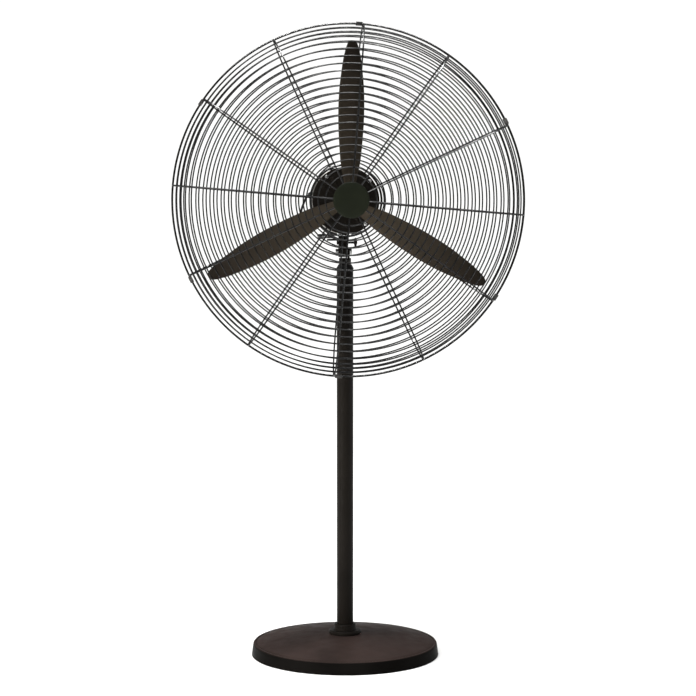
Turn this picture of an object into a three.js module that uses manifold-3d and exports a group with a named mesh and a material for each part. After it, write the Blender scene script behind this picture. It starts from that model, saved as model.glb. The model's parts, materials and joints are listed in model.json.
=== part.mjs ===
// A tall oscillating pedestal fan: round weighted base, telescopic pole, tilting neck,
// swinging motor head with an open oscillation linkage, three slender blades and a
// two-part wire guard. Millimetres, +Z up, origin on the floor under the pole, and the
// fan blows towards -Y.

import * as THREE from 'three';
import { mergeVertices } from 'three/addons/utils/BufferGeometryUtils.js';
import Module from 'manifold-3d';

const wasm = await Module();
wasm.setup();

// ---------------------------------------------------------------- driving dimensions

const GAP = 0.3;                // gap kept between pieces that touch

const BASE_RADIUS = 194;        // skirt of the base at the floor
const BASE_RIM_RADIUS = 190;    // top of the skirt
const BASE_RIM_HEIGHT = 25;
const BASE_CROWN_HEIGHT = 45;
const BASE_SHELL = 2;
const PAD_THICKNESS = 2.5;
const WEIGHT_TOP = 20;

const POLE_RADIUS = 17;
const POLE_WALL = 2;
const POLE_BOTTOM = 52.3;
const POLE_TOP = 807;
const COLLAR_TOP = 816;

const MAST_RADIUS = 12.5;       // the inner, sliding tube
const MAST_WALL = 1.5;
const MAST_BOTTOM = 460;
const MAST_TOP = 826;

const TILT_HEIGHT = 841;        // tilt bolt above the floor
const REST_TILT = 6;            // degrees the head looks up at rest
const SWING_X = -4;             // swing pin beside the tilt lug
const HUB_HEIGHT = 106;         // motor axis above the tilt bolt, in the neck's frame

const MOTOR_RADIUS = 66;
const MOTOR_WALL = 3.5;
const MOTOR_FRONT = -28;        // along the motor axis, towards -Y
const MOTOR_REAR = 36;
const SHAFT_RADIUS = 6;
const PLATE_RADIUS = 66.5;
const PLATE_SCREW_RADIUS = 62;
const PLATE_SCREW_ANGLES = [129, 39, -51, -141];

const RIM_PLANE = -125;         // where the two halves of the guard meet
const GUARD_RADIUS = 356.5;
const WIRE = 2.4;               // guard wire diameter
const SHOULDER_STEPS = 4;
const RIM_WIRE = 5;             // rim wire diameter
const RING_SPACING = 86;        // along the cage's outline
const RIB_COUNT = 12;
const CLIP_COUNT = 6;
const RIB_PHASE = 84.8;         // degrees, first rib from +X towards +Z
const FRONT_SHAPE = { rimToCrown: 75, crownRise: 25, shoulderRadius: 306, centreRadius: 38 };
const REAR_SHAPE = { rimToCrown: 87, crownRise: 25, shoulderRadius: 301, centreRadius: 72.6 };
const REAR_MOUNT_RADIUS = 55;   // the rear cage's inner ring, clamped under the plate
const REAR_MOUNT_PLANE = -37.5;
const BADGE_RADIUS = 36.5;

const BLADE_COUNT = 3;
const BLADE_PHASE = 88.6;       // degrees, first blade from +X towards +Z
const BLADE_PLANE = -125;
const BLADE_ROOT = 27;
const BLADE_TIP = 318;
const BLADE_THICKNESS = 2;
const ROOT_PITCH = 30;          // degrees
const TIP_PITCH = 15;

const CRANK_THROW = 26;         // equals the distance from the swing pin to the link's ear
const CRANK = { x: -20, y: 62 };
const LINK_HEIGHT = 31;         // middle of the link above the tilt bolt

const LEAD_RADIUS = 2.3;

// ------------------------------------------------------------------------- materials

const paint = (color, roughness, metalness) =>
  new THREE.MeshStandardMaterial({ color, roughness, metalness });

const FINISH = {
  blackPaint: () => paint(0x1c1917, 0.45, 0.2),
  brownPaint: () => paint(0x2b211e, 0.5, 0.2),
  wire: () => paint(0x101010, 0.35, 0.4),
  blade: () => paint(0x37302b, 0.4, 0.3),
  badge: () => paint(0x1c211b, 0.5, 0.0),
  castMetal: () => paint(0x9c968d, 0.5, 0.8),
  steel: () => paint(0xa6a6a6, 0.35, 1.0),
  castIron: () => paint(0x2a2a2a, 0.8, 0.5),
  copper: () => paint(0x9a5b32, 0.5, 0.7),
  plastic: () => paint(0x1a1a1a, 0.55, 0.0),
  nylon: () => paint(0xd8d3c4, 0.5, 0.0),
  rubber: () => paint(0x141414, 0.9, 0.0),
};

// ------------------------------------------------------------------- solid geometry

const radians = (degrees) => THREE.MathUtils.degToRad(degrees);

// Leaves only positions, merged, with no triangle that has collapsed to a line.
function welded(geometry) {
  const bare = geometry.clone();
  bare.deleteAttribute('normal');
  bare.deleteAttribute('uv');
  const merged = mergeVertices(bare, 1e-4);
  const corners = merged.index.array;
  const kept = [];
  for (let i = 0; i < corners.length; i += 3) {
    const [a, b, c] = [corners[i], corners[i + 1], corners[i + 2]];
    if (a !== b && b !== c && c !== a) kept.push(a, b, c);
  }
  merged.setIndex(kept);
  return merged;
}

function toSolid(geometry) {
  const mesh = welded(geometry);
  return new wasm.Manifold(new wasm.Mesh({
    numProp: 3,
    vertProperties: new Float32Array(mesh.attributes.position.array),
    triVerts: new Uint32Array(mesh.index.array),
  }));
}

function toGeometry(solid) {
  const { vertProperties, triVerts } = solid.getMesh();
  const geometry = new THREE.BufferGeometry();
  geometry.setAttribute('position', new THREE.BufferAttribute(vertProperties, 3));
  geometry.setIndex(new THREE.BufferAttribute(triVerts, 1));
  return geometry;
}

const join = (...pieces) =>
  toGeometry(pieces.map(toSolid).reduce((whole, piece) => whole.add(piece)));

const cut = (body, ...tools) =>
  toGeometry(tools.map(toSolid).reduce((whole, tool) => whole.subtract(tool), toSolid(body)));

// A closed outline of [radius, height] points, anticlockwise, turned about +Z.
function turned(outline, sides = 20) {
  const points = outline.map(([r, z]) => new THREE.Vector2(r, z));
  points.push(points[0].clone());
  return welded(new THREE.LatheGeometry(points, sides).rotateX(Math.PI / 2));
}

// The same about the motor axis: heights run along Y.
function turnedAlongY(outline, sides = 24) {
  const points = outline.map(([r, y]) => new THREE.Vector2(r, y));
  points.push(points[0].clone());
  return welded(new THREE.LatheGeometry(points, sides));
}

// The four corners of a tube's wall.
const tube = (inner, outer, low, high) =>
  [[inner, low], [outer, low], [outer, high], [inner, high]];

const disc = (radius, low, high) => [[0, low], [radius, low], [radius, high], [0, high]];

// A round rod between two points.
function rod(from, to, radius, sides = 16) {
  const start = new THREE.Vector3(...from);
  const end = new THREE.Vector3(...to);
  const geometry = new THREE.CylinderGeometry(radius, radius, start.distanceTo(end), sides);
  const direction = end.clone().sub(start).normalize();
  const turn = new THREE.Quaternion().setFromUnitVectors(new THREE.Vector3(0, 1, 0), direction);
  const middle = start.add(end).multiplyScalar(0.5);
  return geometry.applyQuaternion(turn).translate(middle.x, middle.y, middle.z);
}

function block(low, high) {
  const size = low.map((value, axis) => high[axis] - value);
  const middle = low.map((value, axis) => (high[axis] + value) / 2);
  return new THREE.BoxGeometry(...size).translate(...middle);
}

// A flat bar with round ends between two points of a horizontal plane, with an eye at each.
function bar(from, to, radius, low, high, eyes) {
  const along = new THREE.Vector2(to[0] - from[0], to[1] - from[1]);
  const heading = along.angle();
  const shape = new THREE.Shape();
  shape.absarc(from[0], from[1], radius, heading + Math.PI / 2, heading - Math.PI / 2);
  shape.absarc(to[0], to[1], radius, heading - Math.PI / 2, heading + Math.PI / 2);
  for (const [x, y, eyeRadius] of eyes) {
    const eye = new THREE.Path();
    eye.absarc(x, y, eyeRadius, 0, 2 * Math.PI, true);
    shape.holes.push(eye);
  }
  const options = { depth: high - low, bevelEnabled: false, curveSegments: 8 };
  return new THREE.ExtrudeGeometry(shape, options).translate(0, 0, low);
}

// The outline of a rounded-bottom or rounded-top plate in the YZ plane, extruded along X.
function platePlane(shape, left, right) {
  const options = { depth: right - left, bevelEnabled: false, curveSegments: 10 };
  const geometry = new THREE.ExtrudeGeometry(shape, options);
  const turn = new THREE.Matrix4().makeBasis(
    new THREE.Vector3(0, 1, 0), new THREE.Vector3(0, 0, 1), new THREE.Vector3(1, 0, 0));
  return geometry.applyMatrix4(turn).translate(left, 0, 0);
}

const hexAlongX = (left, right, acrossFlats) =>
  rod([left, 0, 0], [right, 0, 0], acrossFlats / Math.sqrt(3), 6);

function piece(name, geometry, material, parent) {
  const mesh = new THREE.Mesh(geometry, material);
  mesh.name = name;
  parent.add(mesh);
  return mesh;
}

// A point on a circle about the motor axis, seen from the front.
const aroundAxis = (radius, degrees) =>
  [radius * Math.cos(radians(degrees)), radius * Math.sin(radians(degrees))];

// ------------------------------------------------------------------------- the stand

function crownHeight(radius) {
  const fall = BASE_CROWN_HEIGHT - BASE_RIM_HEIGHT;
  return BASE_CROWN_HEIGHT - fall * (radius / BASE_RIM_RADIUS) ** 2;
}

function baseCoverOutline() {
  const centreHole = 20.5;
  const crown = [187, 130, 75, centreHole];
  const outside = crown.map((r) => [r, crownHeight(r)]);
  const inside = crown.map((r) => [r, crownHeight(r) - BASE_SHELL]).reverse();
  inside.pop();
  return [
    [BASE_RADIUS - BASE_SHELL, 1],
    [BASE_RADIUS, 1],
    [BASE_RIM_RADIUS + 0.8, 20],
    [BASE_RIM_RADIUS, 23.2],
    ...outside,
    ...inside,
    [BASE_RIM_RADIUS - BASE_SHELL - 0.6, 21.5],
    [BASE_RIM_RADIUS - BASE_SHELL, 19],
  ];
}

function poleFootOutline() {
  const seat = crownHeight(POLE_RADIUS) + GAP;
  return [
    [6.4, WEIGHT_TOP + GAP],
    [19.7, WEIGHT_TOP + GAP],
    [19.7, seat],
    [33.5, seat],
    [33.5, seat + 6.5],
    [31.5, seat + 8],
    [23, seat + 8],
    [23, seat + 19],
    [21.5, seat + 21],
    [POLE_RADIUS + GAP, seat + 21],
    [POLE_RADIUS + GAP, POLE_BOTTOM - GAP],
    [6.4, POLE_BOTTOM - GAP],
  ];
}

function buildStand(parent) {
  const padRadius = BASE_RADIUS - 8;
  piece('base_pad', turned(disc(padRadius, 0, PAD_THICKNESS), 36), FINISH.rubber(), parent);

  const recess = 24;
  const recessTop = 14;
  const weight = turned([
    [recess, PAD_THICKNESS + GAP],
    [padRadius, PAD_THICKNESS + GAP],
    [padRadius, WEIGHT_TOP],
    [6.5, WEIGHT_TOP],
    [6.5, recessTop],
    [recess, recessTop],
  ], 24);
  piece('base_weight', weight, FINISH.castIron(), parent);
  piece('base_cover', turned(baseCoverOutline(), 36), FINISH.brownPaint(), parent);
  piece('pole_foot', turned(poleFootOutline(), 20), FINISH.blackPaint(), parent);

  piece('base_stud', turned(disc(6, 3.6, 50), 12), FINISH.steel(), parent);
  const washer = turned(tube(6.4, 16, 11.4, recessTop - GAP), 16);
  piece('base_washer', washer, FINISH.steel(), parent);
  const nut = cut(turned(disc(11, 4.2, 11.1), 6), turned(disc(6.4, 2, 13), 12));
  piece('base_nut', nut, FINISH.steel(), parent);

  const knobHeight = 786;
  const screwHole = rod([0, 8, knobHeight], [0, 30, knobHeight], 4.4, 12);
  const pole = turned(tube(POLE_RADIUS - POLE_WALL, POLE_RADIUS, POLE_BOTTOM, POLE_TOP - GAP));
  const boss = cut(
    block([-9, 10, knobHeight - 11], [9, 25, knobHeight + 11]),
    turned(disc(POLE_RADIUS - 0.5, knobHeight - 20, knobHeight + 20)));
  piece('outer_tube', cut(join(pole, boss), screwHole), FINISH.blackPaint(), parent);

  const collar = turned([
    [MAST_RADIUS + GAP, POLE_TOP - 35],
    [POLE_RADIUS - POLE_WALL - GAP, POLE_TOP - 35],
    [POLE_RADIUS - POLE_WALL - GAP, POLE_TOP],
    [POLE_RADIUS + 0.7, POLE_TOP],
    [POLE_RADIUS + 0.7, POLE_TOP + 1.5],
    [MAST_RADIUS + 1.1, COLLAR_TOP],
    [MAST_RADIUS + GAP, COLLAR_TOP],
  ]);
  piece('tube_collar', cut(collar, screwHole), FINISH.plastic(), parent);

  const knob = new THREE.Group();
  knob.position.set(0, 0, knobHeight);
  parent.add(knob);
  const lobes = new THREE.Shape();
  const lobeSteps = 36;
  for (let step = 0; step < lobeSteps; step += 1) {
    const angle = (2 * Math.PI * step) / lobeSteps;
    const radius = 16 + 2.2 * Math.cos(6 * angle);
    const point = [radius * Math.cos(angle), radius * Math.sin(angle)];
    if (step === 0) lobes.moveTo(...point);
    else lobes.lineTo(...point);
  }
  const handle = new THREE.ExtrudeGeometry(lobes, { depth: 13, bevelEnabled: false })
    .rotateX(-Math.PI / 2).translate(0, 31, 0);
  const screw = rod([0, MAST_RADIUS + GAP, 0], [0, 33, 0], 4, 12);
  piece('height_knob', join(handle, screw), FINISH.plastic(), knob);
}

// -------------------------------------------------------------------------- the mast

const LUG = { left: 5.6, right: 9 };
const NECK_FLANGE = 829;

function buildMast(parent) {
  const inner = MAST_RADIUS - MAST_WALL;
  piece('inner_tube', turned(tube(inner, MAST_RADIUS, MAST_BOTTOM, MAST_TOP), 20),
    FINISH.steel(), parent);
  const bush = turned([
    [MAST_RADIUS + GAP, MAST_BOTTOM - 4],
    [POLE_RADIUS - POLE_WALL - GAP, MAST_BOTTOM - 4],
    [POLE_RADIUS - POLE_WALL - GAP, MAST_BOTTOM + 30],
    [MAST_RADIUS + GAP, MAST_BOTTOM + 30],
  ], 20);
  piece('slide_bush', bush, FINISH.nylon(), parent);

  const stem = turned([
    [0, MAST_TOP - 30],
    [inner - GAP, MAST_TOP - 30],
    [inner - GAP, MAST_TOP + GAP],
    [MAST_RADIUS, MAST_TOP + GAP],
    [MAST_RADIUS, NECK_FLANGE],
    [0, NECK_FLANGE],
  ], 20);
  const lugShape = new THREE.Shape();
  lugShape.moveTo(-9, NECK_FLANGE - 1);
  lugShape.lineTo(9, NECK_FLANGE - 1);
  lugShape.absarc(0, TILT_HEIGHT, 9, 0, Math.PI);
  const lug = platePlane(lugShape, LUG.left, LUG.right);
  const boltHole = rod([0, 0, TILT_HEIGHT], [20, 0, TILT_HEIGHT], 4.3, 12);
  piece('neck_stem', cut(join(stem, lug), boltHole), FINISH.blackPaint(), parent);

  const pivot = new THREE.Group();
  pivot.position.z = TILT_HEIGHT;
  parent.add(pivot);
  const bolt = join(hexAlongX(-19.4, -13.8, 13), rod([-14, 0, 0], [14.5, 0, 0], 4, 12));
  piece('tilt_bolt', bolt, FINISH.steel(), pivot);
  const nut = cut(hexAlongX(LUG.right + GAP, LUG.right + 4.8, 13),
    rod([0, 0, 0], [20, 0, 0], 4.3, 12));
  piece('tilt_nut', nut, FINISH.steel(), pivot);
}

// -------------------------------------------------------------------------- the neck

const SOCKET_RADIUS = 9.5;
const PIN_RADIUS = 4;
const SOCKET_TOP = 37.5;
const CLAMP_SCREW = { y: -7.9, z: 20, radius: 2.2 };

function buildNeck(parent) {
  const left = SWING_X - SOCKET_RADIUS;
  const right = SWING_X + SOCKET_RADIUS - 0.2;
  const cheek = new THREE.Shape();
  cheek.absarc(0, 0, SOCKET_RADIUS, Math.PI, 2 * Math.PI);
  cheek.lineTo(SOCKET_RADIUS, 14);
  cheek.lineTo(-SOCKET_RADIUS, 14);
  const barrel = turned(disc(SOCKET_RADIUS, 12, SOCKET_TOP), 20).translate(SWING_X, 0, 0);
  const clamp = block([left, -12.6, 14], [right, 0, 26]);
  const earRadius = 7;
  const ear = bar([SWING_X, 0], [SWING_X - CRANK_THROW, 0], earRadius, 24, 28, []);
  const socket = cut(
    join(platePlane(cheek, left, right), barrel, clamp, ear),
    turned(disc(PIN_RADIUS + GAP, 13, SOCKET_TOP + 5), 16).translate(SWING_X, 0, 0),
    rod([-30, 0, 0], [20, 0, 0], 4.3, 12),
    rod([-30, CLAMP_SCREW.y, CLAMP_SCREW.z], [20, CLAMP_SCREW.y, CLAMP_SCREW.z],
      CLAMP_SCREW.radius + GAP, 12),
  );
  piece('swing_socket', socket, FINISH.blackPaint(), parent);

  const screwGroup = new THREE.Group();
  screwGroup.position.set(0, CLAMP_SCREW.y, CLAMP_SCREW.z);
  parent.add(screwGroup);
  const stopNut = rod([-17.4, 0, 0], [-13.9, 0, 0], 4, 6);
  const shank = rod([-16, 0, 0], [20, 0, 0], CLAMP_SCREW.radius, 12);
  const boss = rod([17.5, 0, 0], [24.5, 0, 0], 3.6, 12);
  const wing = new THREE.Shape();
  wing.moveTo(18.5, -1);
  wing.lineTo(23.5, -1);
  wing.absarc(21, 7.5, 3, 0, Math.PI);
  const wings = [-1, 1].map((side) =>
    new THREE.ExtrudeGeometry(wing, { depth: 2.4, bevelEnabled: false, curveSegments: 5 })
      .translate(0, 0, -1.2)
      .rotateX(side * radians(90)));
  piece('lock_screw', join(stopNut, shank, boss, ...wings), FINISH.blackPaint(), screwGroup);
}

// ------------------------------------------------------------------ oscillation drive

function buildDrive(parent) {
  const pin = { x: CRANK.x - CRANK_THROW, y: CRANK.y };
  const ear = { x: SWING_X - CRANK_THROW, y: 0 };
  const linkLow = LINK_HEIGHT - 1.9;
  const linkHigh = LINK_HEIGHT + 1.9;

  const crankLow = linkHigh + GAP;
  const crankBar = bar([CRANK.x, CRANK.y], [pin.x, pin.y], 7.5, crankLow, crankLow + 4.5,
    [[CRANK.x, CRANK.y, 4.3]]);
  const crankPin = rod([pin.x, pin.y, linkLow - 2], [pin.x, pin.y, crankLow + 2], 3, 12);
  piece('crank_arm', join(crankBar, crankPin), FINISH.blackPaint(), parent);

  const shaft = rod([CRANK.x, CRANK.y, crankLow], [CRANK.x, CRANK.y, 113], 4, 12);
  piece('crank_shaft', shaft, FINISH.steel(), parent);
  const gear = turned(tube(4.3, 11.4, HUB_HEIGHT - 6, HUB_HEIGHT + 6), 18)
    .translate(CRANK.x, CRANK.y, 0);
  piece('worm_gear', gear, FINISH.nylon(), parent);

  const link = bar([ear.x, ear.y], [pin.x, pin.y], 6.5, linkLow, linkHigh,
    [[pin.x, pin.y, 3.3]]);
  const rivetHead = rod([ear.x, ear.y, LINK_HEIGHT], [ear.x, ear.y, linkHigh + 2.6], 4.5, 12);
  piece('link_arm', join(link, rivetHead), FINISH.blackPaint(), parent);
}

// -------------------------------------------------------------------- the motor body

const COVER = { front: 36.3 + 7.3, rear: 106, radius: 60, rearRadius: 46, wall: 2.5 };
const KNOB_Z = -22;             // speed knob below the motor axis

function buildMotorBody(head, axis) {
  const swingPin = rod([SWING_X, 0, 14], [SWING_X, 0, 43.2], PIN_RADIUS, 16);
  piece('swing_pin', swingPin, FINISH.steel(), head);

  const bell = turnedAlongY([
    [11.4, -40], [18, -40], [18, -34.5], [68.5, -34.5], [68.5, -30],
    [66, MOTOR_FRONT - GAP], [11.4, MOTOR_FRONT - GAP],
  ], 28);
  const screwBosses = PLATE_SCREW_ANGLES.map((angle) => {
    const [x, z] = aroundAxis(PLATE_SCREW_RADIUS, angle);
    return rod([x, -39.7, z], [x, -33, z], 4, 6);
  });
  const screwHoles = PLATE_SCREW_ANGLES.map((angle) => {
    const [x, z] = aroundAxis(PLATE_SCREW_RADIUS, angle);
    return rod([x, -45, z], [x, -25, z], 2.5, 6);
  });
  piece('front_bell', cut(join(bell, ...screwBosses), ...screwHoles), FINISH.castMetal(), axis);

  const can = turnedAlongY(
    tube(MOTOR_RADIUS - MOTOR_WALL, MOTOR_RADIUS, MOTOR_FRONT, MOTOR_REAR), 28);
  const pinBoss = rod([SWING_X, 0, SOCKET_TOP + GAP - HUB_HEIGHT], [SWING_X, 0, -56],
    SOCKET_RADIUS, 20);
  const pinHole = rod([SWING_X, 0, -75], [SWING_X, 0, -50], PIN_RADIUS + GAP, 16);
  const pinBossTrim = turnedAlongY(disc(MOTOR_RADIUS - MOTOR_WALL, -20, 20), 28);
  const boss = cut(pinBoss, pinBossTrim);
  piece('motor_shell', cut(join(can, boss), pinHole), FINISH.blackPaint(), axis);

  const rearBell = turnedAlongY([
    [11.4, MOTOR_REAR - 2], [18, MOTOR_REAR - 2], [18, MOTOR_REAR + GAP],
    [MOTOR_RADIUS, MOTOR_REAR + GAP], [MOTOR_RADIUS, MOTOR_REAR + 7],
    [11.4, MOTOR_REAR + 7],
  ], 28);
  piece('rear_bell', rearBell, FINISH.castMetal(), axis);

  const { front, rear, radius, rearRadius, wall } = COVER;
  const cover = turnedAlongY([
    [radius, front], [radius - 0.5, front + 16], [radius - 5, rear - 18],
    [rearRadius, rear - 3], [rearRadius - 6, rear], [0, rear],
    [0, rear - wall], [rearRadius - 7, rear - wall], [rearRadius - 2, rear - wall - 3],
    [radius - wall - 5, rear - 18], [radius - wall - 0.5, front + 16],
    [radius - wall, front],
  ], 28);
  const crankHole = rod([CRANK.x, CRANK.y, -70], [CRANK.x, CRANK.y, -40], 7, 12);
  const clutchHole = rod([CRANK.x, CRANK.y, 40], [CRANK.x, CRANK.y, 70], 3.6, 12);
  const knobHole = rod([0, rear - 20, KNOB_Z], [0, rear + 5, KNOB_Z], 4, 12);
  piece('back_cover', cut(cover, crankHole, clutchHole, knobHole), FINISH.plastic(), axis);

  const core = turnedAlongY([
    [33.8, -14], [42, -22], [55, -22], [61.5, -14],
    [61.5, 24], [55, 32], [42, 32], [33.8, 24],
  ], 20);
  piece('stator', core, FINISH.copper(), axis);

  const bearing = (name, low) =>
    piece(name, turnedAlongY(tube(SHAFT_RADIUS + GAP, 11, low, low + 8), 16), FINISH.steel(), axis);
  bearing('front_bearing', -39);
  bearing('rear_bearing', MOTOR_REAR - 1);
}

function buildMotorFittings(axis) {
  const box = { low: [-35, 47, -30], high: [11, 80, 14] };
  const wall = 3;
  const pocket = block(
    box.low.map((value) => value + wall),
    [box.high[0] - wall, box.high[1] - wall, box.high[2] + wall]);
  const shaftHole = rod([0, 40, 0], [0, 60, 0], 9, 16);
  const crankHole = rod([CRANK.x, CRANK.y, -40], [CRANK.x, CRANK.y, 0], 4.5, 12);
  const gearbox = cut(block(box.low, box.high), pocket, shaftHole, crankHole);
  piece('gearbox_case', gearbox, FINISH.castMetal(), axis);

  const switchBody = block([-13, 84, KNOB_Z - 11], [13, 99, KNOB_Z + 11]);
  const switchStem = rod([0, 98, KNOB_Z], [0, 106, KNOB_Z], 3.4, 12);
  piece('speed_switch', join(switchBody, switchStem), FINISH.plastic(), axis);
  piece('capacitor', rod([30, 50, 20], [30, 86, 20], 9, 16), FINISH.plastic(), axis);

  const glandZ = -COVER.radius + 3;
  const gland = cut(
    join(rod([22, 66, glandZ + 8], [22, 66, glandZ - 6], 6, 12),
      rod([22, 66, glandZ - 5], [22, 66, glandZ - 13], 4.6, 12)),
    turnedAlongY(disc(COVER.radius - 0.2, COVER.front, COVER.rear), 36),
    rod([22, 66, glandZ - 20], [22, 66, glandZ - 8], 3.2, 12));
  piece('cord_gland', gland, FINISH.rubber(), axis);
}

function buildControls(axis) {
  const knobFront = COVER.rear + GAP;
  const pointer = block([-2.2, knobFront + 8, KNOB_Z - 12], [2.2, knobFront + 17, KNOB_Z + 13]);
  const dial = turnedAlongY([
    [3.8, knobFront], [15, knobFront], [14, knobFront + 9], [0, knobFront + 9],
    [0, knobFront + 1.5], [3.8, knobFront + 1.5],
  ], 20).translate(0, 0, KNOB_Z);
  piece('speed_knob', join(dial, pointer), FINISH.plastic(), axis);

  const clutchTop = 67;
  const stalk = rod([CRANK.x, CRANK.y, 9], [CRANK.x, CRANK.y, clutchTop - 5], 3, 12);
  const cap = turned([[0, 0], [4.5, 0], [7, 4], [7, 7], [4, 9], [0, 9]], 16)
    .translate(CRANK.x, CRANK.y, clutchTop - 9);
  piece('clutch_knob', join(stalk, cap), FINISH.plastic(), axis);
}

// The motor's own lead: a loop from the side of the shell to the back cover.
const LEAD_ROUTE = [
  [-72.6, 22, 11], [-77, 22, 7.5], [-82, 22.5, -3], [-87, 24, -17], [-88.5, 27, -33],
  [-85, 32, -48], [-76, 39, -57.5], [-66, 45.5, -56], [-58.5, 50, -48], [-53.6, 52.6, -40.5],
];

function buildLead(axis) {
  const points = LEAD_ROUTE.map((point) => new THREE.Vector3(...point));
  const path = new THREE.CatmullRomCurve3(points, false, 'centripetal');
  const section = new THREE.Shape();
  section.absarc(0, 0, LEAD_RADIUS, 0, 2 * Math.PI);
  const options = { steps: 24, curveSegments: 4, bevelEnabled: false, extrudePath: path };
  const lead = new THREE.ExtrudeGeometry(section, options);
  piece('motor_lead', lead, FINISH.rubber(), axis);

  const gland = (name, end, next, bodyRadius) => {
    const tip = new THREE.Vector3(...end);
    const outward = tip.clone().sub(new THREE.Vector3(...next)).normalize();
    const mouth = tip.clone().addScaledVector(outward, GAP);
    const foot = mouth.clone().addScaledVector(outward, 9);
    const core = toSolid(rod(mouth.toArray(), foot.toArray(), 4.2, 12));
    const clear = toSolid(turnedAlongY(disc(bodyRadius + GAP, -30, 110), 36));
    piece(name, toGeometry(core.subtract(clear)), FINISH.rubber(), axis);
  };
  gland('lead_gland_front', LEAD_ROUTE[0], LEAD_ROUTE[1], MOTOR_RADIUS);
  gland('lead_gland_rear', LEAD_ROUTE.at(-1), LEAD_ROUTE.at(-2), COVER.radius);
}

// -------------------------------------------------------------------------- the guard

// The cage's outline from its rim to its centre, as [radius, distance from the rim plane].
function cageCurve({ rimToCrown, crownRise, shoulderRadius, centreRadius }) {
  const shoulderDepth = rimToCrown - crownRise;
  const span = GUARD_RADIUS - shoulderRadius;
  const shoulder = new THREE.CubicBezierCurve(
    new THREE.Vector2(GUARD_RADIUS, 0),
    new THREE.Vector2(GUARD_RADIUS - 0.13 * span, 0.42 * shoulderDepth),
    new THREE.Vector2(shoulderRadius + 0.52 * span, 0.84 * shoulderDepth),
    new THREE.Vector2(shoulderRadius, shoulderDepth));
  const points = shoulder.getPoints(SHOULDER_STEPS);
  const crownSteps = 3;
  for (let step = 1; step <= crownSteps; step += 1) {
    const radius = THREE.MathUtils.lerp(shoulderRadius, centreRadius, step / crownSteps);
    const depth = rimToCrown - crownRise * (radius / shoulderRadius) ** 2;
    points.push(new THREE.Vector2(radius, depth));
  }
  return points;
}

// Points at equal spacing along the outline, each with the way out of the cage there.
function ringStations(curve, spacing) {
  const stations = [];
  let walked = 0;
  let next = spacing;
  for (let i = 1; i < curve.length; i += 1) {
    const along = curve[i].clone().sub(curve[i - 1]);
    const outward = new THREE.Vector2(along.y, -along.x).normalize();
    while (walked + along.length() >= next) {
      const point = curve[i - 1].clone().addScaledVector(along, (next - walked) / along.length());
      stations.push({ point, outward });
      next += spacing;
    }
    walked += along.length();
  }
  return stations;
}

// A ring of three-sided wire about the motor axis, with its sharp edge pointing outward.
// Its corners line up with the ribs.
function wireRing(middle, outward, thickness) {
  const half = thickness / 2;
  const across = new THREE.Vector2(-outward.y, outward.x);
  const corner = (out, along) =>
    middle.clone().addScaledVector(outward, out * half).addScaledVector(across, along * half);
  const corners = [corner(1, 0), corner(-1, 1), corner(-1, -1)];
  return turnedAlongY(corners.map((point) => point.toArray()), 2 * RIB_COUNT)
    .rotateY(-radians(RIB_PHASE - 90));
}

// A square wire that follows [radius, y] points, turned to its angle about the motor axis.
function rib(points, degrees) {
  const half = WIRE / 2;
  const edge = (sign) => points.map((point, index) => {
    const before = points[Math.max(index - 1, 0)];
    const after = points[Math.min(index + 1, points.length - 1)];
    const along = after.clone().sub(before).normalize().multiplyScalar(sign * half);
    return new THREE.Vector2(point.x - along.y, point.y + along.x);
  });
  const shape = new THREE.Shape([...edge(1), ...edge(-1).reverse()]);
  return new THREE.ExtrudeGeometry(shape, { depth: WIRE, bevelEnabled: false })
    .translate(0, 0, -half).rotateY(-radians(degrees));
}

// One half of the guard: side is -1 for the front and 1 for the rear. The ribs lie on the
// outside of the rings.
function cage(shape, side, extraRings, innerEnd) {
  const curve = cageCurve(shape);
  const rimY = RIM_PLANE + side * (RIM_WIRE + GAP) / 2;
  const place = ({ x, y }) => new THREE.Vector2(x, RIM_PLANE + side * y);
  const rings = ringStations(curve, RING_SPACING).map(({ point, outward }) =>
    wireRing(place(point), new THREE.Vector2(outward.x, side * outward.y), WIRE));
  const rim = turnedAlongY([
    [GUARD_RADIUS, rimY], [GUARD_RADIUS - RIM_WIRE / 2, rimY + RIM_WIRE / 2],
    [GUARD_RADIUS - RIM_WIRE, rimY], [GUARD_RADIUS - RIM_WIRE / 2, rimY - RIM_WIRE / 2],
  ], 36);
  const lift = WIRE - 0.4;
  const ribPoints = curve.slice(1).map((point) => {
    const steepness = Math.min(1, point.y / shape.rimToCrown);
    return place(point).add(new THREE.Vector2(lift * (1 - steepness), side * lift * steepness));
  });
  ribPoints.unshift(new THREE.Vector2(GUARD_RADIUS - RIM_WIRE / 2, rimY));
  ribPoints.push(...innerEnd);
  const ribs = Array.from({ length: RIB_COUNT }, (unused, index) =>
    rib(ribPoints, RIB_PHASE + (index * 360) / RIB_COUNT));
  return join(rim, ...rings, ...extraRings, ...ribs);
}

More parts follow.
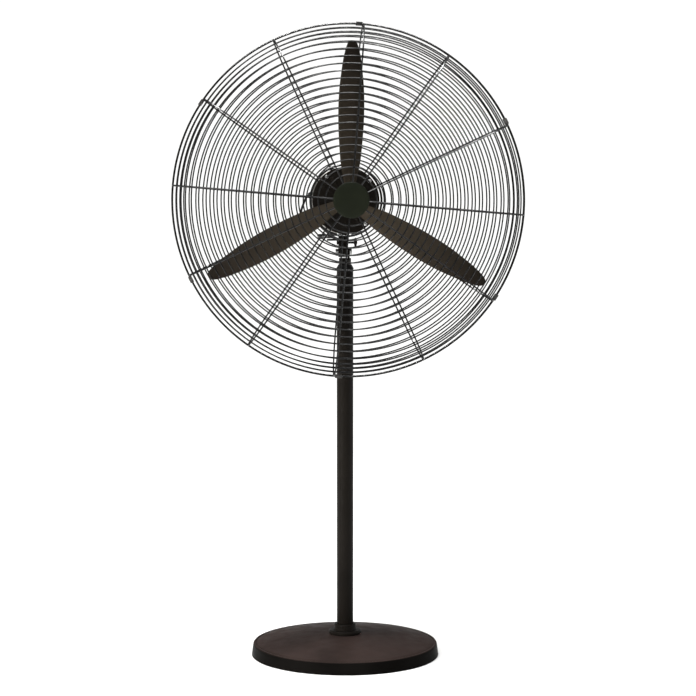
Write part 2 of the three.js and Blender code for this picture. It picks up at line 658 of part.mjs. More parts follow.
function buildGuard(axis) {
  const backward = new THREE.Vector2(0, 1);
  const forward = new THREE.Vector2(0, -1);
  const mountPoint = new THREE.Vector2(REAR_MOUNT_RADIUS, REAR_MOUNT_PLANE);
  const mountRing = wireRing(mountPoint, backward, 3.4);
  const thickRing = wireRing(
    new THREE.Vector2(REAR_SHAPE.centreRadius, RIM_PLANE + REAR_SHAPE.rimToCrown - 1.8),
    backward, 4.6);
  piece('rear_guard', cage(REAR_SHAPE, 1, [thickRing, mountRing], [mountPoint]),
    FINISH.wire(), axis);

  const crownY = RIM_PLANE - FRONT_SHAPE.rimToCrown;
  const badgeRing = wireRing(
    new THREE.Vector2(FRONT_SHAPE.centreRadius, crownY + 0.4), forward, 3.4);
  piece('front_guard', cage(FRONT_SHAPE, -1, [badgeRing], []), FINISH.wire(), axis);

  const badgeBack = crownY - 2.6;
  const badge = turnedAlongY([
    [0, badgeBack - 4.5], [20, badgeBack - 3.9], [33, badgeBack - 2.6],
    [BADGE_RADIUS, badgeBack - 1], [BADGE_RADIUS, badgeBack], [0, badgeBack],
  ], 24);
  piece('guard_badge', badge, FINISH.badge(), axis);

  const plate = turnedAlongY([
    [22, -44.6], [52, -44.6], [57, -42.6], [PLATE_RADIUS, -42.2],
    [PLATE_RADIUS, -40], [22, -40],
  ], 28);
  const holes = PLATE_SCREW_ANGLES.map((angle) => {
    const [x, z] = aroundAxis(PLATE_SCREW_RADIUS, angle);
    return rod([x, -50, z], [x, -36, z], 2.6, 6);
  });
  piece('guard_plate', cut(plate, ...holes), FINISH.blackPaint(), axis);

  PLATE_SCREW_ANGLES.forEach((angle, index) => {
    const [x, z] = aroundAxis(PLATE_SCREW_RADIUS, angle);
    const screw = join(rod([x, -45.4, z], [x, -42.9, z], 3.9, 12),
      rod([x, -43.2, z], [x, -31, z], 2, 8));
    piece(`plate_screw_${index + 1}`, screw, FINISH.steel(), axis);
  });

  buildGuardClips(axis);
}

// Six bent straps that hook over both rims, each just beside a rib.
function buildGuardClips(axis) {
  const strap = 1.4;
  const width = 13;
  const besideRib = 1.4;        // degrees
  const half = RIM_WIRE + GAP + 0.3;
  const hook = (side) => [[-6, side * half], [-6, side * (half + strap)]];
  const outline = [[0, -half], ...hook(-1), [strap, -half - strap], [strap, half + strap],
    ...hook(1).reverse(), [0, half]];
  const profile = new THREE.Shape(outline.map(([x, y]) => new THREE.Vector2(x, y)));
  for (let index = 0; index < CLIP_COUNT; index += 1) {
    const clip = new THREE.ExtrudeGeometry(profile, { depth: width, bevelEnabled: false })
      .translate(GUARD_RADIUS + GAP, RIM_PLANE, -width / 2)
      .rotateY(-radians(RIB_PHASE + besideRib + (index * 360) / CLIP_COUNT));
    piece(`guard_clip_${index + 1}`, clip, FINISH.steel(), axis);
  }
}

// -------------------------------------------------------------------------- the rotor

// Chord along the blade, seen from the front, as [radius, width].
const BLADE_CHORD = [
  [27, 21], [46, 29], [75, 41], [110, 48], [150, 53], [190, 54], [228, 51], [258, 43],
  [285, 34], [304, 23], [318, 8],
];

function bladeChord(radius) {
  const last = BLADE_CHORD.findIndex(([r]) => r >= radius);
  if (last <= 0) return BLADE_CHORD[0][1];
  const [r0, w0] = BLADE_CHORD[last - 1];
  const [r1, w1] = BLADE_CHORD[last];
  return THREE.MathUtils.lerp(w0, w1, (radius - r0) / (r1 - r0));
}

function bladeGeometry() {
  const spans = BLADE_CHORD.length - 1;
  const geometry = new THREE.BoxGeometry(1, 1, 1, 3, 1, spans);
  const position = geometry.attributes.position;
  for (let i = 0; i < position.count; i += 1) {
    const station = Math.round((position.getZ(i) + 0.5) * spans);
    const radius = BLADE_CHORD[station][0];
    const across = position.getX(i);
    const blend = (radius - BLADE_ROOT) / (BLADE_TIP - BLADE_ROOT);
    const pitch = radians(THREE.MathUtils.lerp(ROOT_PITCH, TIP_PITCH, blend));
    const width = bladeChord(radius);
    const camber = -0.05 * width * (1 - (2 * across) ** 2);
    const x = across * width;
    const y = across * width * Math.tan(pitch) + camber + position.getY(i) * BLADE_THICKNESS;
    position.setXYZ(i, x, y, radius);
  }
  return welded(geometry);
}

function buildRotor(axis) {
  piece('rotor_shaft', rod([0, -146, 0], [0, 76, 0], SHAFT_RADIUS, 16), FINISH.steel(), axis);
  piece('rotor_core', turnedAlongY(tube(SHAFT_RADIUS + GAP, 33, -14, 24), 18),
    FINISH.steel(), axis);
  piece('worm', turnedAlongY(tube(SHAFT_RADIUS + GAP, 8, 53, 71), 16), FINISH.steel(), axis);

  const hub = turnedAlongY([
    [SHAFT_RADIUS + GAP, -136], [15, -136], [15, -131], [24, -129], [24, -121],
    [15, -118], [13, -100], [SHAFT_RADIUS + GAP, -100],
  ], 18);
  piece('blade_hub', hub, FINISH.castMetal(), axis);
  const nut = cut(rod([0, -136 - GAP, 0], [0, -144, 0], 10, 6),
    rod([0, -150, 0], [0, -130, 0], SHAFT_RADIUS + GAP, 16));
  piece('hub_nut', nut, FINISH.steel(), axis);

  for (let index = 0; index < BLADE_COUNT; index += 1) {
    const angle = BLADE_PHASE - 90 + (index * 360) / BLADE_COUNT;
    const blade = bladeGeometry().translate(0, BLADE_PLANE, 0).rotateY(-radians(angle));
    piece(`blade_${index + 1}`, blade, FINISH.blade(), axis);
  }
}

// ------------------------------------------------------------------------ the object

const group = new THREE.Group();
buildStand(group);
buildMast(group);

// The neck's frame: its origin on the tilt bolt, looking up by the rest tilt.
const neck = new THREE.Group();
neck.position.z = TILT_HEIGHT;
neck.rotation.x = -radians(REST_TILT);
group.add(neck);
buildNeck(neck);
buildDrive(neck);

// The motor's frame: its origin on the motor axis above the tilt bolt.
const motor = new THREE.Group();
motor.position.z = HUB_HEIGHT;
neck.add(motor);
buildMotorBody(neck, motor);
buildMotorFittings(motor);
buildControls(motor);
buildLead(motor);
buildGuard(motor);
buildRotor(motor);

export default group;
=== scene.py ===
"""The looks of a tall oscillating pedestal fan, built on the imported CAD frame.

Outlines are in millimetres in the frame they belong to (the stand, the tilting neck or the
motor) and reach the row frame, in metres, in one place: add_piece. The camera, the lights and
the floor are in metres throughout.
"""

import json
import math

import bmesh
import bpy
from mathutils import Matrix, Vector


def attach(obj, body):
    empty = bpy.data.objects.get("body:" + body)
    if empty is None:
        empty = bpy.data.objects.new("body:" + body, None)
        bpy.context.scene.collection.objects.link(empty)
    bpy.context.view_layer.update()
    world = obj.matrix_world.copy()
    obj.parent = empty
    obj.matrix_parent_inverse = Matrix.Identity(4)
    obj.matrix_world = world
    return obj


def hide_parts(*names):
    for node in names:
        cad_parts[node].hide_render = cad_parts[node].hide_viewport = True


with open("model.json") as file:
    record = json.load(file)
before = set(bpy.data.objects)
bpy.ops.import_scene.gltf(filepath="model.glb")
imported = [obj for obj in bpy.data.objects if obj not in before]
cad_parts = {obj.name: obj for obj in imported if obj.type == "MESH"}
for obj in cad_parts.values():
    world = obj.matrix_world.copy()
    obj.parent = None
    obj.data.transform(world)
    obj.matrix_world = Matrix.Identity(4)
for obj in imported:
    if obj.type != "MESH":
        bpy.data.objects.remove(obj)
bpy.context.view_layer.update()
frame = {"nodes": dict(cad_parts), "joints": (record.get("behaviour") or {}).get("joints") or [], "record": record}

MM = 0.001
TAU = 2 * math.pi
TINY = 1e-6                     # nearer to the axis than this counts as on it

# ------------------------------------------------------------------ places and sizes

JOINTS = {joint["name"]: joint for joint in frame["joints"]}
SLOTS = {entry["node"]: entry["material_slot"] for entry in frame["record"]["subparts"]}

POLE_RADIUS = 17
POLE_FOOT_SEAT = 45.2           # where the foot's flange sits on the crown
POLE_TOP = 806.7
COLLAR_TOP = 816
KNOB_HEIGHT = 786
MAST_RADIUS = 12.5
TILT_HEIGHT = 841
SWING_X = -4                    # the swing pin, left of the middle
CRANK_AXIS = (-20, 62)          # the same in the neck's and the motor's frame
LINK_EAR = (-30, 0)             # where the link turns on the neck

RIM_PLANE = -125                # where the two halves of the guard meet
GUARD_RADIUS = 356.5
WIRE_RADIUS = 1.45
RIM_WIRE_RADIUS = 2.1
RING_PITCH = 14.8               # from ring to ring, inside the shoulder
REAR_CENTRE = 80                # where the rear cage's rings end, towards the middle
FRONT_CENTRE = 44
RIB_COUNT = 12
RIB_PHASE = 84.8
CLIP_COUNT = 6
PLATE_SCREW_RADIUS = 62
PLATE_SCREW_ANGLES = (129, 39, -51, -141)
SPEED_KNOB_Z = -22
BLADE_PLANE = RIM_PLANE
BLADE_PHASES = (88.6, 208.6, 328.6)
BLADE_ROOT, BLADE_TIP = 27, 321
BLADE_SET = 2.2                 # the blade's middle, off the radial line


def frame_at(origin, forward):
    """A frame with X to the right, Y backward and Z up, at a point of the row frame."""
    right = Vector((1, 0, 0))
    back = -forward
    turn = Matrix((right, back, right.cross(back))).transposed().to_4x4()
    return Matrix.Translation(origin) @ turn


FORWARD = Vector(JOINTS["blade_spin"]["axis"]).normalized()
# The spin joint's place is in the rim plane. The motor's frame starts behind it, in the motor.
MOTOR = frame_at(Vector(JOINTS["blade_spin"]["pos_m"]) + FORWARD * RIM_PLANE * MM, FORWARD)
NECK = frame_at(Vector(JOINTS["head_tilt"]["pos_m"]), FORWARD)
TILT_BOLT = Matrix.Translation(Vector(JOINTS["head_tilt"]["pos_m"]))
ROW = Matrix.Identity(4)

ALONG_X = Matrix.Rotation(TAU / 4, 4, "Y")      # lays work that stands along Z along X
ALONG_Y = Matrix.Rotation(-TAU / 4, 4, "X")     # and along Y
# Makes an (x, y) outline with its pull along Z a (y, z) outline with its pull along X.
SIDEWAYS = Matrix(((0, 0, 1, 0), (1, 0, 0, 0), (0, 1, 0, 0), (0, 0, 0, 1)))


# ------------------------------------------------------------------------- materials

def new_material(name, color, roughness, metallic=0.0, specular=0.5):
    material = bpy.data.materials.new(name)
    material.use_nodes = True
    shader = material.node_tree.nodes["Principled BSDF"]
    shader.inputs["Base Color"].default_value = (*color, 1)
    shader.inputs["Roughness"].default_value = roughness
    shader.inputs["Metallic"].default_value = metallic
    shader.inputs["Specular IOR Level"].default_value = specular
    return material


def noise(tree, scale, detail, stretch=(1, 1, 1)):
    """A noise value over the object's own coordinates, which are the row frame's."""
    coordinates = tree.nodes.new("ShaderNodeTexCoord")
    mapping = tree.nodes.new("ShaderNodeMapping")
    mapping.inputs["Scale"].default_value = stretch
    texture = tree.nodes.new("ShaderNodeTexNoise")
    texture.inputs["Scale"].default_value = scale
    texture.inputs["Detail"].default_value = detail
    tree.links.new(coordinates.outputs["Object"], mapping.inputs["Vector"])
    tree.links.new(mapping.outputs["Vector"], texture.inputs["Vector"])
    return texture.outputs["Fac"]


def map_range(tree, value, from_range, to_range):
    """Carries a value from one range to another, and holds it there."""
    mapped = tree.nodes.new("ShaderNodeMapRange")
    mapped.inputs["From Min"].default_value, mapped.inputs["From Max"].default_value = from_range
    mapped.inputs["To Min"].default_value, mapped.inputs["To Max"].default_value = to_range
    tree.links.new(value, mapped.inputs["Value"])
    return mapped.outputs["Result"]


def vary_color(material, dark, light, scale):
    tree = material.node_tree
    ramp = tree.nodes.new("ShaderNodeValToRGB")
    first, last = ramp.color_ramp.elements
    first.position, last.position = 0.35, 0.65
    first.color = (*dark, 1)
    last.color = (*light, 1)
    tree.links.new(noise(tree, scale, detail=6.0), ramp.inputs["Fac"])
    tree.links.new(ramp.outputs["Color"], tree.nodes["Principled BSDF"].inputs["Base Color"])


def vary_roughness(material, low, high, scale, stretch=(1, 1, 1)):
    tree = material.node_tree
    wander = noise(tree, scale, 3.0, stretch)
    rough = map_range(tree, wander, (0.3, 0.7), (low, high))
    tree.links.new(rough, tree.nodes["Principled BSDF"].inputs["Roughness"])


def add_bump(material, scale, height, strength, stretch=(1, 1, 1)):
    """A fine relief; its height is in metres."""
    tree = material.node_tree
    bump = tree.nodes.new("ShaderNodeBump")
    bump.inputs["Strength"].default_value = strength
    bump.inputs["Distance"].default_value = height
    tree.links.new(noise(tree, scale, 2.0, stretch), bump.inputs["Height"])
    tree.links.new(bump.outputs["Normal"], tree.nodes["Principled BSDF"].inputs["Normal"])


def cover_paint(material, color, cover):
    """Lays a colour over the paint, as far as the cover value says."""
    tree = material.node_tree
    paint = tree.nodes["Principled BSDF"].inputs["Base Color"]
    mix = tree.nodes.new("ShaderNodeMix")
    mix.data_type = "RGBA"
    mix.inputs["B"].default_value = (*color, 1)
    tree.links.new(cover, mix.inputs["Factor"])
    tree.links.new(paint.links[0].from_socket, mix.inputs["A"])
    tree.links.new(mix.outputs["Result"], paint)


def dust_and_painted_top_light(material, dust_and_top_light_tone):
    """A faint, patchy film on what faces up: partly dust, partly painted light, making the top lighter as overhead
    light would.
    """
    tree = material.node_tree
    geometry = tree.nodes.new("ShaderNodeNewGeometry")
    split = tree.nodes.new("ShaderNodeSeparateXYZ")
    tree.links.new(geometry.outputs["Normal"], split.inputs["Vector"])
    facing_up = map_range(tree, split.outputs["Z"], (0.55, 0.97), (0.0, 1.0))
    patches = map_range(tree, noise(tree, 7, detail=5.0), (0.35, 0.6), (0.55, 1.0))
    cover = tree.nodes.new("ShaderNodeMath")
    cover.operation = "MULTIPLY"
    tree.links.new(facing_up, cover.inputs[0])
    tree.links.new(patches, cover.inputs[1])
    # painted top light and dust: the up-facing surfaces get the lighter tone
    cover_paint(material, dust_and_top_light_tone, cover.outputs["Value"])


def lighten_near_hub_as_painted_light(material, painted_hub_light_color, near=0.10, far=0.30):
    """Paint made lighter around the hub, a painted highlight where the blade roots catch the light, back to its
    full tone towards the tips.
    """
    tree = material.node_tree
    coordinates = tree.nodes.new("ShaderNodeTexCoord")
    distance = tree.nodes.new("ShaderNodeVectorMath")
    distance.operation = "DISTANCE"
    distance.inputs[1].default_value = JOINTS["blade_spin"]["pos_m"]
    tree.links.new(coordinates.outputs["Object"], distance.inputs[0])
    # painted light: 1 at the hub, fading to 0 towards the tips
    painted_light_near_hub = map_range(tree, distance.outputs["Value"], (near, far), (1.0, 0.0))
    cover_paint(material, painted_hub_light_color, painted_light_near_hub)


def powder_coat(name, dark, light, roughness, specular=0.05):
    material = new_material(name, light, roughness, specular=specular)
    vary_color(material, dark, light, scale=9)
    vary_roughness(material, roughness - 0.06, roughness + 0.08, scale=40)
    add_bump(material, 1400, height=0.00012, strength=0.35)
    return material


def bare_metal(name, dark, light, roughness, grain, stretch=(1, 1, 1)):
    material = new_material(name, light, roughness, metallic=1.0)
    vary_color(material, dark, light, scale=30)
    vary_roughness(material, roughness - 0.1, roughness + 0.12, scale=120, stretch=stretch)
    add_bump(material, grain, height=0.0001, strength=0.4, stretch=stretch)
    return material


def moulded_plastic(name, dark, light, roughness, grain=900):
    material = new_material(name, light, roughness, specular=0.08)
    vary_color(material, dark, light, scale=14)
    vary_roughness(material, roughness - 0.05, roughness + 0.07, scale=60)
    add_bump(material, grain, height=0.0001, strength=0.3)
    return material


# Each finish has a dark and a light tone and a roughness. What may follow is a paint's specular
# level, a metal's grain and how far the grain is stretched, or a plastic's grain.
PAINTS = {
    "base_paint": ((0.0018, 0.0016, 0.0014), (0.0028, 0.0025, 0.0022), 0.42, 0.008),
    "black_paint": ((0.0028, 0.0022, 0.0017), (0.0042, 0.0034, 0.0026), 0.42),
    "guard_wire": ((0.001, 0.001, 0.001), (0.002, 0.002, 0.002), 0.22, 0.15),
    "blade_paint": ((0.0066, 0.0053, 0.0041), (0.0088, 0.0070, 0.0055), 0.45, 0.015),
}
METALS = {
    "dark_steel": ((0.012, 0.011, 0.010), (0.030, 0.028, 0.026), 0.42, 500),
    "clip_steel": ((0.045, 0.045, 0.045), (0.13, 0.125, 0.12), 0.35, 500),
    "steel": ((0.42, 0.42, 0.42), (0.62, 0.62, 0.61), 0.30, 700),
    "cast_aluminium": ((0.42, 0.40, 0.37), (0.56, 0.54, 0.51), 0.48, 900),
    "cast_iron": ((0.03, 0.03, 0.03), (0.07, 0.065, 0.06), 0.7, 600),
    "winding": ((0.30, 0.11, 0.04), (0.62, 0.28, 0.12), 0.38, 700, (1, 12, 1)),
}
PLASTICS = {
    "black_plastic": ((0.004, 0.004, 0.004), (0.007, 0.007, 0.007), 0.5),
    "badge": ((0.0032, 0.0040, 0.0020), (0.0050, 0.0060, 0.0031), 0.45, 1500),
    "nylon": ((0.62, 0.58, 0.48), (0.74, 0.70, 0.60), 0.45),
    "rubber": ((0.012, 0.012, 0.012), (0.022, 0.021, 0.02), 0.85, 600),
    "lead_sheath": ((0.01, 0.01, 0.01), (0.017, 0.017, 0.017), 0.55, 800),
}
FINISH = {
    name: make(name, *recipe)
    for make, recipes in ((powder_coat, PAINTS), (bare_metal, METALS), (moulded_plastic, PLASTICS))
    for name, recipe in recipes.items()
}
# painted top light and dust: the base's up-facing crown gets a lighter brown film, partly standing in for light
# from above
dust_and_painted_top_light(FINISH["base_paint"], (0.0275, 0.0190, 0.0168))
# painted highlight: the blades' paint is made lighter near the hub, as if lit there
lighten_near_hub_as_painted_light(FINISH["blade_paint"], (0.0195, 0.0156, 0.0112))


def finish_cad_nodes():
    """Every carried-over CAD node gets its slot's procedural finish."""
    for name, node in frame["nodes"].items():
        node.data.materials.clear()
        node.data.materials.append(FINISH[SLOTS[name]])


# ------------------------------------------------------------------------ mesh tools

def fillet(outline, radius, steps=3):
    """Rounds the corners of a closed [radius, height] outline, except those on the axis."""
    most = 0.42                 # of an edge, so that the roundings at its two ends don't meet
    rounded = []
    count = len(outline)
    for index, corner in enumerate(outline):
        here = Vector(corner)
        if here.x < TINY:
            rounded.append(tuple(here))
            continue
        before = Vector(outline[index - 1]) - here
        after = Vector(outline[(index + 1) % count]) - here
        reach = min(radius, most * before.length, most * after.length)
        start = here + before.normalized() * reach
        end = here + after.normalized() * reach
        for step in range(steps + 1):
            t = step / steps
            point = start * (1 - t) ** 2 + here * 2 * t * (1 - t) + end * t ** 2
            rounded.append(tuple(point))
    return rounded


def densify(outline, longest):
    """Splits the long edges of a closed outline, so that a relief has points to move."""
    points = []
    for index, point in enumerate(outline):
        here, there = Vector(point), Vector(outline[(index + 1) % len(outline)])
        if here.x < TINY and there.x < TINY:
            points.append(tuple(here))
            continue
        pieces = max(1, math.ceil((there - here).length / longest))
        points += [tuple(here.lerp(there, step / pieces)) for step in range(pieces)]
    return points


class Shape:
    """Vertices in millimetres and faces, gathered from several solids."""

    def __init__(self):
        self.vertices = []
        self.faces = []

    def add(self, vertices, faces, matrix=None):
        first = len(self.vertices)
        if matrix is not None:
            vertices = [matrix @ Vector(vertex) for vertex in vertices]
        self.vertices += [tuple(vertex) for vertex in vertices]
        self.faces += [[first + corner for corner in face] for face in faces]
        return self

    def moved(self, matrix):
        return Shape().add(self.vertices, self.faces, matrix)


def turned(outline, segments=96, relief=None):
    """Turns a closed [radius, height] outline about Z. relief(angle, r, h) gives a new (r, h)."""
    vertices, rings = [], []
    for radius, height in outline:
        if radius < TINY:
            rings.append([len(vertices)] * segments)
            vertices.append((0, 0, height))
            continue
        rings.append([len(vertices) + k for k in range(segments)])
        for k in range(segments):
            angle = TAU * k / segments
            r, h = relief(angle, radius, height) if relief else (radius, height)
            vertices.append((r * math.cos(angle), r * math.sin(angle), h))
    faces = []
    for ring, above in zip(rings, rings[1:] + rings[:1]):
        for k in range(segments):
            after = (k + 1) % segments
            corners = list(dict.fromkeys((ring[k], ring[after], above[after], above[k])))
            if len(corners) > 2:
                faces.append(corners)
    return vertices, faces


def circle_outline(radius, height, wire_radius, sides=8):
    """The section of a ring of wire, to be turned."""
    return [(radius + wire_radius * math.cos(TAU * k / sides),
             height + wire_radius * math.sin(TAU * k / sides)) for k in range(sides)]


def tube_walls(around, rows):
    """The faces between rows of vertices, each row closed on itself, with `around` vertices."""
    faces = []
    for row in range(rows - 1):
        low, high = row * around, (row + 1) * around
        for k in range(around):
            after = (k + 1) % around
            faces.append([low + k, low + after, high + after, high + k])
    return faces


def swept(path, radius, sides=8):
    """A round bar along a list of points, closed at both ends."""
    points = [Vector(point) for point in path]
    vertices = []
    side = None
    for index, point in enumerate(points):
        tangent = points[min(index + 1, len(points) - 1)] - points[max(index - 1, 0)]
        tangent.normalize()
        if side is None:
            side = tangent.orthogonal().normalized()
        side = (side - tangent * side.dot(tangent)).normalized()
        across = tangent.cross(side)
        for k in range(sides):
            angle = TAU * k / sides
            vertices.append(point + radius * (side * math.cos(angle) + across * math.sin(angle)))
    last = (len(points) - 1) * sides
    faces = tube_walls(sides, len(points))
    faces.append(list(range(sides))[::-1])
    faces.append([last + k for k in range(sides)])
    return vertices, faces


def prism(outline, low, high):
    """A closed (x, y) outline pulled from one height to another."""
    count = len(outline)
    vertices = [(x, y, low) for x, y in outline] + [(x, y, high) for x, y in outline]
    faces = [list(range(count))[::-1], [count + k for k in range(count)]]
    return vertices, faces + tube_walls(count, 2)


def box(low, high):
    outline = [(low[0], low[1]), (high[0], low[1]), (high[0], high[1]), (low[0], high[1])]
    return prism(outline, low[2], high[2])


def hexagon(across_flats):
    radius = across_flats / math.sqrt(3)
    return [(radius * math.cos(TAU * k / 6), radius * math.sin(TAU * k / 6)) for k in range(6)]


def half_circle(radius, start=0.0, steps=18):
    """Points half a turn round, from a starting angle."""
    angles = [start + TAU * k / (2 * steps) for k in range(steps + 1)]
    return [(radius * math.cos(angle), radius * math.sin(angle)) for angle in angles]


def rounded_bar(start, end, radius, steps=14):
    """The outline of a flat bar with round ends."""
    start, end = Vector(start), Vector(end)
    along = (end - start).normalized()
    heading = math.atan2(along.y, along.x)
    outline = []
    for centre, first in ((start, heading + TAU / 4), (end, heading - TAU / 4)):
        for step in range(steps + 1):
            angle = first + TAU / 2 * step / steps
            outline.append((centre.x + radius * math.cos(angle),
                            centre.y + radius * math.sin(angle)))
    return outline


def smooth_path(points, steps=8):
    """A Catmull-Rom curve through the points."""
    knots = [Vector(point) for point in points]
    knots = [2 * knots[0] - knots[1]] + knots + [2 * knots[-1] - knots[-2]]
    path = []
    for a, b, c, d in zip(knots, knots[1:], knots[2:], knots[3:]):
        for step in range(steps):
            t = step / steps
            path.append(0.5 * (2 * b + (c - a) * t + (2 * a - 5 * b + 4 * c - d) * t ** 2
                               + (3 * b - a - 3 * c + d) * t ** 3))
    return path + [knots[-2]]


def at(x, y, z):
    """A move to a point, in the units of what it moves."""
    return Matrix.Translation((x, y, z))


def on_circle(radius, degrees):
    """A point about the motor axis; degrees run from +X towards +Z."""
    angle = math.radians(degrees)
    return Vector((radius * math.cos(angle), 0, radius * math.sin(angle)))


def about_axis(degrees):
    """Turns something built at +X to its angle about the motor axis."""
    return Matrix.Rotation(-math.radians(degrees), 4, "Y")


SHARP_ANGLE = math.radians(38)


def fix_normals(mesh):
    work = bmesh.new()
    work.from_mesh(mesh)
    bmesh.ops.recalc_face_normals(work, faces=work.faces)
    work.to_mesh(mesh)
    work.free()


def add_piece(name, shape, place, body, stands_for, edge=0.0):
    mesh = bpy.data.meshes.new(name)
    mesh.from_pydata(shape.vertices, [], shape.faces)
    mesh.transform(place @ Matrix.Scale(MM, 4))
    fix_normals(mesh)
    slot = SLOTS[stands_for[0]]
    mesh.materials.append(FINISH[slot])
    mesh.shade_smooth()
    mesh.set_sharp_from_angle(angle=SHARP_ANGLE)
    piece = bpy.data.objects.new(name, mesh)
    bpy.context.scene.collection.objects.link(piece)
    if edge:
        bevel = piece.modifiers.new("edge", "BEVEL")
        bevel.width = edge * MM
        bevel.segments = 2
        bevel.limit_method = "ANGLE"
        bevel.angle_limit = SHARP_ANGLE
        bevel.harden_normals = True
    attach(piece, body)
    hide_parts(*stands_for)


def turned_piece(name, outline, place, body, stands_for, soften, segments=96):
    shape = Shape().add(*turned(fillet(outline, soften), segments))
    add_piece(name, shape, place, body, stands_for)


# ------------------------------------------------------------------ camera and lights

CAMERA_DISTANCE = 7.0
CAMERA_HEIGHT = 1.652
CAMERA_AZIMUTH = math.radians(-3.8)             # round the pole, from straight ahead
CAMERA_PITCH = math.radians(8.2)
CAMERA_LENS = 178
CAMERA_AIM = math.radians(-0.05)                # turned a little past the pole
CAMERA_REACH = 100

ROOM_GLOW = (0.5, 1.0)          # the white room's strength as a light, and as it is seen
OVERHEAD = (0.0, -0.6, 3.6)
OVERHEAD_SIZE = (2.4, 0.4)
OVERHEAD_POWER = 60
STRIP_POWER = 4600              # seen only as glints on the guard's wires
LEFT_FILL_POWER = 270
RIGHT_SOFTBOX_POWER = 22
CEILING_STRENGTH = 2.4
CEILING_SPREAD = math.radians(50)
FLOOR_HALF = 70.0


def add_camera():
    data = bpy.data.cameras.new("camera")
    data.lens = CAMERA_LENS
    data.clip_end = CAMERA_REACH
    camera = bpy.data.objects.new("camera", data)
    camera.location = (CAMERA_DISTANCE * math.sin(CAMERA_AZIMUTH),
                       -CAMERA_DISTANCE * math.cos(CAMERA_AZIMUTH), CAMERA_HEIGHT)
    camera.rotation_euler = (TAU / 4 - CAMERA_PITCH, 0, CAMERA_AZIMUTH + CAMERA_AIM)
    bpy.context.scene.collection.objects.link(camera)
    bpy.context.scene.camera = camera


def add_room():
    """A white world, which the camera sees brighter than it lights the object."""
    world = bpy.data.worlds.new("studio")
    world.use_nodes = True
    tree = world.node_tree
    backdrop = tree.nodes["Background"]
    backdrop.inputs["Color"].default_value = (1, 1, 1, 1)
    ray = tree.nodes.new("ShaderNodeLightPath")
    glow = map_range(tree, ray.outputs["Is Camera Ray"], (0.0, 1.0), ROOM_GLOW)
    tree.links.new(glow, backdrop.inputs["Strength"])
    bpy.context.scene.world = world
    bpy.context.scene.view_settings.view_transform = "Standard"


def add_area_light(name, location, size, power):
    """A rectangular light that points at the motor."""
    data = bpy.data.lights.new(name, "AREA")
    data.shape = "RECTANGLE"
    data.size, data.size_y = size
    data.energy = power
    light = bpy.data.objects.new(name, data)
    light.location = location
    aim = MOTOR.translation - Vector(location)
    light.rotation_euler = aim.to_track_quat("-Z", "Y").to_euler()
    bpy.context.scene.collection.objects.link(light)
    return light


def add_lights():
    add_area_light("top_softbox", OVERHEAD, OVERHEAD_SIZE, OVERHEAD_POWER)

    strip = add_area_light("wire_strip", OVERHEAD, OVERHEAD_SIZE, STRIP_POWER)
    strip.visible_diffuse = False
    wires = bpy.data.collections.new("strip_lit")
    for cage in ("front_cage", "rear_cage"):
        wires.objects.link(bpy.data.objects[cage])
    strip.light_linking.receiver_collection = wires

    fill = add_area_light("left_fill", (-1.7, -1.3, 0.12), (1.2, 1.2), LEFT_FILL_POWER)
    fill.visible_glossy = False
    add_area_light("right_softbox", (3.2, -0.6, 1.0), (0.8, 2.0), RIGHT_SOFTBOX_POWER)

    data = bpy.data.lights.new("ceiling", "SUN")
    data.energy = CEILING_STRENGTH
    data.angle = CEILING_SPREAD
    ceiling = bpy.data.objects.new("ceiling", data)
    ceiling.rotation_euler = (math.radians(18), math.radians(-10), 0)
    bpy.context.scene.collection.objects.link(ceiling)


def add_floor():
    paint = new_material("floor_paint", (0.92, 0.92, 0.91), 0.9)
    vary_roughness(paint, 0.85, 0.95, scale=3)
    half = FLOOR_HALF
    corners = [(-half, -half, 0), (half, -half, 0), (half, half, 0), (-half, half, 0)]
    mesh = bpy.data.meshes.new("floor")
    mesh.from_pydata(corners, [], [[0, 1, 2, 3]])
    mesh.materials.append(paint)
    floor = bpy.data.objects.new("floor", mesh)
    bpy.context.scene.collection.objects.link(floor)


# ------------------------------------------------------------------------- the stand

def build_base():
    crown, fall, fall_radius = 45, 20, 190
    sheet = 2

    def crown_height(radius):
        return crown - fall * (radius / fall_radius) ** 2

    skirt = [(194, 1.0), (192.8, 10), (191.6, 18)]
    roll = [(191.2, 21.4), (190.7, 23.8), (189.4, 25.6), (187.4, 26.3), (185.6, 25.9),
            (184.6, 25.2)]
    slope = [(radius, crown_height(radius)) for radius in (*range(182, 20, -8), 20.5)]
    under = [(radius, height - sheet) for radius, height in reversed(slope)]
    outline = skirt + roll + slope + under + [(188, 22.4), (189.2, 19.5), (192, 1.0)]
    add_piece("base_shell", Shape().add(*turned(outline, 160)), ROW, "stand", ["base_cover"])

    pad = [(0, 0), (186, 0), (186, 2.5), (0, 2.5)]
    turned_piece("base_sheet", pad, ROW, "stand", ["base_pad"], 0.6, 120)


